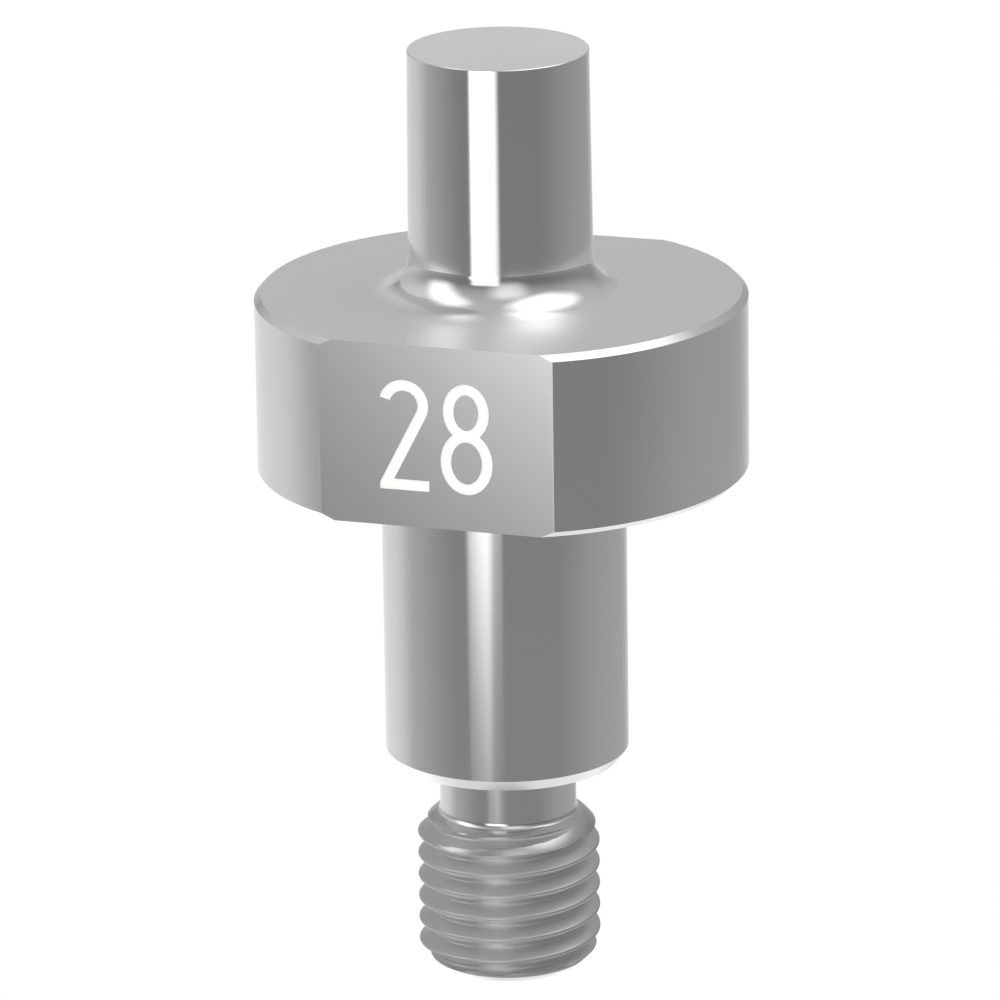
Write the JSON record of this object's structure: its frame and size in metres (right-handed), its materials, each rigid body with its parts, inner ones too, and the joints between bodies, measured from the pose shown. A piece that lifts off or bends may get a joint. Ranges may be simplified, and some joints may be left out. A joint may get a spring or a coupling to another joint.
{
  "type": "punch tool",
  "caption": "Round punch nose on a wrench flange with two flats, above a ground guide shank, a relief neck and a threaded end.",
  "frame": {"origin": "on the tool's axis, in the plane of the seat under the flange, where the guide shank starts", "axes": "+Z along the axis towards the punch nose, -Z along the shank towards the threaded end, -Y out of the numbered wrench flat, X along the flats"},
  "size_m": [0.032, 0.028, 0.062],
  "materials": {
    "ground_steel": "fine ground, satin bright",
    "turned_steel": "fine turned and milled, satin",
    "thread_steel": "cut thread, satin grey",
    "number_paint": "matt white filling in an engraved number"
  },
  "bodies": {
    "root": {"punch_nose": "ground_steel", "wrench_flange": "turned_steel", "guide_shank": "ground_steel", "relief_neck": "turned_steel", "threaded_end": "thread_steel"}
  },
  "joints": []
}
